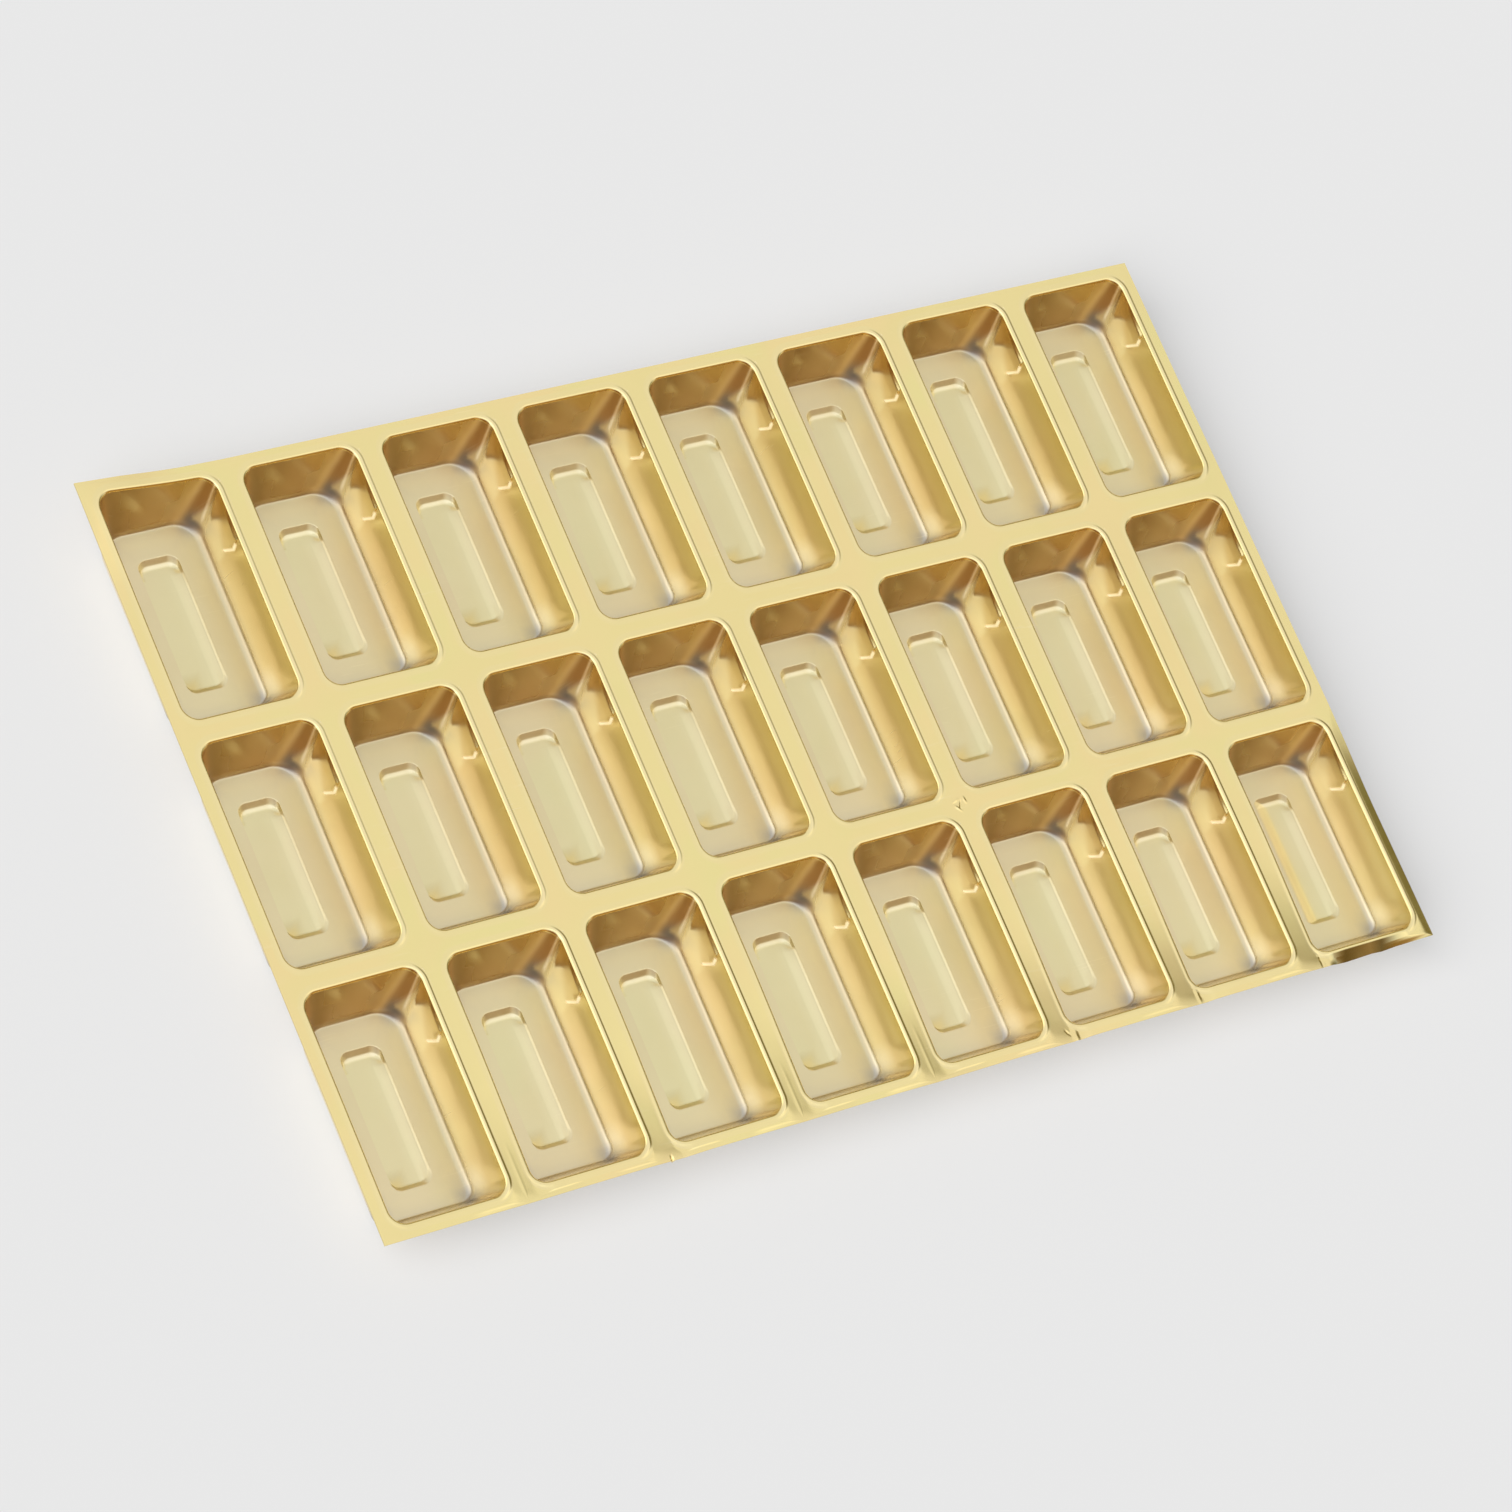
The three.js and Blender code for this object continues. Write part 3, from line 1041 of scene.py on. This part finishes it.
film_skin, given, result = shader_group(
    "film_skin", {"Place": "Vector"}, {"Height": "Float", "Haze": "Float"})
ripple = noise(film_skin, given["Place"], RIPPLE_SIZE, RIPPLE_DETAIL)
peel = noise(film_skin, given["Place"], PEEL_SIZE, PEEL_DETAIL)
peel = combine(film_skin, "MULTIPLY", peel, PEEL_SHARE)
skin_height = combine(film_skin, "ADD", ripple, peel)
haze = window(film_skin, noise(film_skin, given["Place"], HAZE_SIZE, HAZE_DETAIL), *HAZE_LIMITS)
fill(film_skin, result, {"Height": skin_height, "Haze": haze})

# %% Fine rub marks from handling
RUB_TURN = math.radians(27)
RUB_STRETCH = 22
RUB_SIZE = 9 * MM
RUB_DETAIL = 3
RUB_LIMITS = (0.62, 0.72)
PATCH_SIZE = 30 * MM
PATCH_DETAIL = 1
PATCH_LIMITS = (0.45, 0.7)

rub_marks, given, result = shader_group("rub_marks", {"Place": "Vector"}, {"Mask": "Float"})
turned = add_node(rub_marks, "Mapping", {
    "Vector": given["Place"], "Rotation": (0, 0, RUB_TURN), "Scale": (1, RUB_STRETCH, 1)})
strokes = noise(rub_marks, turned.outputs["Vector"], RUB_SIZE, RUB_DETAIL)
patches = noise(rub_marks, given["Place"], PATCH_SIZE, PATCH_DETAIL)
mask = combine(rub_marks, "MULTIPLY", window(rub_marks, strokes, *RUB_LIMITS),
               window(rub_marks, patches, *PATCH_LIMITS))
fill(rub_marks, result, {"Mask": mask})

# %% Finish that the deck and the pockets share
RUBBED_COAT = (0.93, 0.85, 0.60, 1)
RUB_COLOUR_SHARE = 0.16
RUB_ROUGHNESS = 0.05
HAZE_ROUGHNESS = 0.06
SKIN_HEIGHT = 0.05 * MM


def use_group(tree, group, inputs):
    node = tree.nodes.new("ShaderNodeGroup")
    node.node_tree = group
    return fill(tree, node, inputs).outputs


def start_film(name):
    """A new metal material, with its shader and its place on the object."""
    material = bpy.data.materials.new(name)
    material.use_nodes = True
    shader = material.node_tree.nodes["Principled BSDF"]
    shader.inputs["Metallic"].default_value = 1
    return material, shader, material.node_tree.nodes.new("ShaderNodeTexCoord").outputs["Object"]


def finish_film(material, shader, place, coat, roughness, drift):
    """Lays drift, rub marks, haze and skin over a coat's colour and roughness."""
    tree = material.node_tree
    tint = use_group(tree, coat_drift, {"Place": place, "Coat": coat, "Drift": drift})
    skin = use_group(tree, film_skin, {"Place": place})
    rubs = use_group(tree, rub_marks, {"Place": place})["Mask"]
    rubbed = combine(tree, "MULTIPLY", rubs, RUB_COLOUR_SHARE)
    hazy = combine(tree, "MULTIPLY_ADD", skin["Haze"], HAZE_ROUGHNESS, roughness)
    bump = add_node(tree, "Bump", {"Height": skin["Height"], "Distance": SKIN_HEIGHT})
    fill(tree, shader, {
        "Base Color": mix(tree, rubbed, tint["Colour"], RUBBED_COAT),
        "Roughness": combine(tree, "MULTIPLY_ADD", rubs, RUB_ROUGHNESS, hazy),
        "Normal": bump.outputs["Normal"],
    })


print("roughness of rub marks and haze:", RUB_ROUGHNESS, HAZE_ROUGHNESS)

# %% Film of the deck, with painted shade where the flange is crushed
DECK_COAT = (0.825, 0.695, 0.325, 1)
DECK_ROUGHNESS = 0.18
DECK_DRIFT = 0.5
FLANGE_SHADE_COAT = (0.30, 0.29, 0.165, 1)


def attribute(tree, name):
    node = tree.nodes.new("ShaderNodeAttribute")
    node.attribute_name = name
    return node.outputs["Fac"]


deck_film, shader, place = start_film("deck_film")
# Painted shade on the crushed near flange, lighter where it is folded up again.
shaded_coat = mix(deck_film.node_tree, attribute(deck_film.node_tree, "flange_shade"), DECK_COAT, FLANGE_SHADE_COAT)
finish_film(deck_film, shader, place, shaded_coat, DECK_ROUGHNESS, DECK_DRIFT)
deck.data.materials.append(deck_film)
print("deck film:", len(deck_film.node_tree.nodes), "nodes")

# %% [markdown]
# ## The film of the pockets
# The further the film was drawn, the paler and hazier its coat: rich gold at the mouth, paler down the wall,
# and satin on the floor. A ramp by height holds this, and also paints a highlight band along the fillet above a
# darker foot. The walls of the near row are painted a little paler still, as painted light.
# The marks that follow the form are laid over it, each where its attribute says. Painting by hand could do
# the same, but 24 times.

# %% Coat by height, with a painted highlight along the fillet
PANEL_COAT = (0.71, 0.64, 0.38, 1)
MOUTH_COAT = (0.825, 0.695, 0.34, 1)
# Pale stops paint the fillet's highlight band, above a darker stop at its foot.
COAT_AND_HIGHLIGHT_BY_FILLETS = {
    0: (0.715, 0.625, 0.385, 1),
    0.25: (0.63, 0.52, 0.31, 1),
    0.75: (0.95, 0.83, 0.58, 1),
    1: (0.96, 0.85, 0.62, 1),
    2.5: (0.89, 0.76, 0.50, 1),
    4: (0.85, 0.70, 0.43, 1),
}


def ramp(tree, height, stops):
    """A colour ramp from the ground to the deck, with a colour at each of some heights."""
    node = add_node(tree, "ValToRGB", {"Fac": height})
    while len(node.color_ramp.elements) < len(stops):
        node.color_ramp.elements.new(1)
    for element, (stop, colour) in zip(node.color_ramp.elements, stops.items()):
        element.position = stop / DECK_TOP
        element.color = colour
    return node.outputs["Color"]


pocket_film, shader, place = start_film("pocket_film")
tree = pocket_film.node_tree
split = add_node(tree, "SeparateXYZ", {0: place}).outputs
height = combine(tree, "DIVIDE", split["Z"], DECK_TOP)
coats = {FLOOR_HEIGHT - PANEL_DEPTH: PANEL_COAT}
for fillets, colour in COAT_AND_HIGHLIGHT_BY_FILLETS.items():
    coats[FLOOR_HEIGHT + fillets * FLOOR_FILLET] = colour
coats[DECK_TOP] = MOUTH_COAT
drawn = ramp(tree, height, coats)
print("coats by height:", len(coats))

# %% Painted light on the walls of the near row
NEAR_ROW_LIGHT_COAT = (0.98, 0.90, 0.72, 1)
NEAR_ROW_LIGHT_SHARE = 0.3
NEAR_ROW_LIGHT_FADE = 3 * MM
NEAR_ROW_LIGHT_LOW = FLOOR_HEIGHT + FLOOR_FILLET / 2
NEAR_ROW_LIGHT_FULL = FLOOR_HEIGHT + 2 * FLOOR_FILLET

above_floor = window(tree, split["Z"], NEAR_ROW_LIGHT_LOW, NEAR_ROW_LIGHT_FULL)
below_rim = window(tree, split["Z"], DECK_TOP - NEAR_ROW_LIGHT_FADE, DECK_TOP - RIM_ROLL, 1, 0)
on_wall = combine(tree, "MULTIPLY", above_floor, below_rim)
in_near_row = window(tree, split["Y"], rows[1] + PITCH_Y / 2, rows[0] - PITCH_Y / 2, 0, NEAR_ROW_LIGHT_SHARE)
# Paints the near row's walls paler, as light that is stronger on the near side.
drawn = mix(tree, combine(tree, "MULTIPLY", on_wall, in_near_row), drawn, NEAR_ROW_LIGHT_COAT)
print("pale share in the near row:", NEAR_ROW_LIGHT_SHARE)

# %% Lay the marks over the coat
CORNER_SHADE_TINT = (0.70, 0.53, 0.38, 1)
# Painted grey reflection in the corners of the floor and along its border.
GREY_REFLECTION_COAT = (0.34, 0.34, 0.355, 1)
# Painted highlight: the crown of the rim is painted paler.
RIM_HIGHLIGHT_COAT = (0.92, 0.80, 0.48, 1)
RIM_HIGHLIGHT_SHARE = 0.45
# Painted shade at the left end of the far wall, and a painted warm reflection at its right.
FAR_WALL_SHADE_COAT = (0.52, 0.38, 0.175, 1)
FAR_WALL_GLOW_COAT = (0.96, 0.78, 0.43, 1)
# A pale coat that paints highlights on the lug, low at the near end of the right wall, and on the panel's foot.
HIGHLIGHT_COAT = (0.95, 0.87, 0.64, 1)
# A pale matt coat, lit by the lamp, that paints highlight lines and a highlight patch on the right wall.
MATT_HIGHLIGHT_COAT = (0.97, 0.82, 0.52, 1)
MATT_HIGHLIGHT_SHARE = 0.8

in_corner = attribute(tree, "haze_and_shade")
rim_highlight = combine(tree, "MULTIPLY", attribute(tree, "rim_highlight"), RIM_HIGHLIGHT_SHARE)
# shine holds the painted highlights.
shine = attribute(tree, "shine")
matt_highlight = combine(tree, "MULTIPLY", attribute(tree, "matt_highlight"), MATT_HIGHLIGHT_SHARE)
# Painted light laid over the coat: a grey reflection in the floor's corners, a highlight on the rim's crown,
# shade and a warm reflection on the far wall, highlight patches, pale matt highlight lines, and shade on the
# crushed flange.
laid_over = (
    (attribute(tree, "grey_reflection"), GREY_REFLECTION_COAT),
    (rim_highlight, RIM_HIGHLIGHT_COAT),
    (attribute(tree, "deep"), FAR_WALL_SHADE_COAT),
    (attribute(tree, "warm"), FAR_WALL_GLOW_COAT),
    (shine, HIGHLIGHT_COAT),
    (matt_highlight, MATT_HIGHLIGHT_COAT),
    (attribute(tree, "flange_shade"), FLANGE_SHADE_COAT),
)
# Painted shade: a tint darkens the upright corners, which are also rougher.
coat = mix(tree, in_corner, drawn, CORNER_SHADE_TINT, "MULTIPLY")
for share, colour in laid_over:
    coat = mix(tree, share, coat, colour)
fill(tree, shader, {"Metallic": combine(tree, "SUBTRACT", 1, matt_highlight)})
print("marks laid over the coat:", len(laid_over) + 1)

# %% Roughness by height, and the finished film
FLOOR_ROUGHNESS = 0.38
WALL_ROUGHNESS = 0.20
CORNER_ROUGHNESS = 0.25
HIGHLIGHT_POLISH = -0.06
POCKET_DRIFT = 0.2


def grey(level):
    return level, level, level, 1


by_height = ramp(tree, height, {
    FLOOR_HEIGHT: grey(FLOOR_ROUGHNESS),
    FLOOR_HEIGHT + FLOOR_FILLET: grey(WALL_ROUGHNESS),
    DECK_TOP: grey(DECK_ROUGHNESS),
})
satin = combine(tree, "MULTIPLY_ADD", in_corner, CORNER_ROUGHNESS, by_height)
polished = combine(tree, "MULTIPLY_ADD", shine, HIGHLIGHT_POLISH, satin)
finish_film(pocket_film, shader, place, coat, polished, POCKET_DRIFT)
for piece in pockets:
    piece.data.materials.append(pocket_film)
print("pocket film:", len(tree.nodes), "nodes")

# %% [markdown]
# ## Floor
# The tray stands on pale paper. A plain diffuse floor would take on the colours of the surround, so half of
# what the camera and the shiny film see of it is its own pale grey. The other half is lit, and keeps the soft
# shadow.

# %% Lay the floor
FLOOR_SIDE = 12.0

floor_form = bmesh.new()
bmesh.ops.create_grid(floor_form, x_segments=1, y_segments=1, size=FLOOR_SIDE / 2)
floor_mesh = bpy.data.meshes.new("floor")
floor_form.to_mesh(floor_mesh)
floor = add_object("floor", floor_mesh)
print("floor:", FLOOR_SIDE, "m wide")

# %% Pale paper
PALE = 0.815
PAPER = (0.80, 0.80, 0.80, 1)
PAPER_ROUGHNESS = 0.9
OWN_SHARE = 0.5


def seen_directly(tree):
    """1 for what the camera or a reflection shows, 0 for light on its way to something matt."""
    path = tree.nodes.new("ShaderNodeLightPath").outputs
    mirrored = combine(tree, "MAXIMUM", path["Is Glossy Ray"], path["Is Transmission Ray"])
    return combine(tree, "MAXIMUM", path["Is Camera Ray"], mirrored)


def mix_shaders(tree, share, first, second):
    return add_node(tree, "MixShader", {0: share, 1: first, 2: second}).outputs[0]


paper = bpy.data.materials.new("floor_paper")
paper.use_nodes = True
tree = paper.node_tree
matt = tree.nodes["Principled BSDF"]
fill(tree, matt, {"Base Color": PAPER, "Roughness": PAPER_ROUGHNESS, "Specular IOR Level": 0})
own = add_node(tree, "Emission", {"Color": grey(PALE)})
share = combine(tree, "MULTIPLY", seen_directly(tree), OWN_SHARE)
either = mix_shaders(tree, share, matt.outputs[0], own.outputs[0])
fill(tree, tree.nodes["Material Output"], {"Surface": either})
floor_mesh.materials.append(paper)
print("paper:", len(tree.nodes), "nodes")

# %% [markdown]
# ## Surround
# Polished film shows what is round it, so the surround matters as much as its colour. The photograph tells
# what it was like: the right walls shine, so the left side is bright, the far walls are deep brown, so the
# near side is dim and warm, and the rims are dark on their right, so the right side is dark low down. Lamps
# and boards could stand there, but soft patches painted on the world cast no shadows.

# %% Soft surround with a dim warm side
Patch = namedtuple("Patch", "azimuth elevation edge core colour")
SURROUND = (1.0, 1.0, 1.0, 1)
SOFT_FILL = 0.17
PATCHES = [
    Patch(-20, 74, 34, 12, (1.35, 1.40, 1.48, 1)),
    Patch(-120, 26, 34, 12, (1.62, 1.60, 1.50, 1)),
    Patch(-82, 48, 26, 8, (1.90, 1.94, 2.02, 1)),
    Patch(-30, 12, 48, 24, (0.27, 0.12, 0.03, 1)),
    Patch(25, 14, 44, 20, (0.64, 0.37, 0.11, 1)),
    Patch(38, 24, 22, 6, (0.40, 0.22, 0.06, 1)),
    Patch(75, 56, 20, 8, (1.30, 1.28, 1.22, 1)),
    Patch(105, 3, 46, 16, (0.22, 0.19, 0.08, 1)),
    Patch(148, 5, 30, 10, (0.35, 0.31, 0.16, 1)),
]


def background(tree, colour):
    return add_node(tree, "Background", {"Color": colour}).outputs[0]


world = bpy.data.worlds.new("studio")
bpy.context.scene.world = world
world.use_nodes = True
tree = world.node_tree
tree.nodes.clear()
looking = tree.nodes.new("ShaderNodeTexCoord").outputs["Generated"]
painted = SURROUND
for patch in PATCHES:
    centre = direction(math.radians(patch.azimuth), math.radians(patch.elevation))
    towards = add_node(tree, "VectorMath", {0: looking, 1: centre})
    towards.operation = "DOT_PRODUCT"
    edge, core = (math.cos(math.radians(reach)) for reach in (patch.edge, patch.core))
    painted = mix(tree, window(tree, towards.outputs["Value"], edge, core), painted, patch.colour)
for_camera = tree.nodes.new("ShaderNodeLightPath").outputs["Is Camera Ray"]
shown = mix_shaders(tree, for_camera, background(tree, painted), background(tree, grey(PALE)))
lit = mix_shaders(tree, seen_directly(tree), background(tree, grey(SOFT_FILL)), shown)
add_node(tree, "OutputWorld", {"Surface": lit})
print("patches in the surround:", len(PATCHES))

# %% [markdown]
# ## Lamp
# The tray's soft shadow lies on its right, so a wide lamp shines from the left. It only makes the shadow: the
# surround already gives the film what it mirrors, so the lamp is kept out of the reflections.

# %% Wide soft lamp
KEY_AZIMUTH = math.radians(-82)
KEY_ELEVATION = math.radians(41)
KEY_SPREAD = math.radians(56)
KEY_STRENGTH = 4.0

lamp = bpy.data.lights.new("soft_lamp", "SUN")
lamp.angle = KEY_SPREAD
lamp.energy = KEY_STRENGTH
soft_lamp = add_object("soft_lamp", lamp)
soft_lamp.visible_glossy = False
look_from(soft_lamp, direction(KEY_AZIMUTH, KEY_ELEVATION))
bpy.context.scene.view_settings.view_transform = "Standard"
print("lamp:", KEY_STRENGTH, "over", round(math.degrees(KEY_SPREAD)), "degrees")
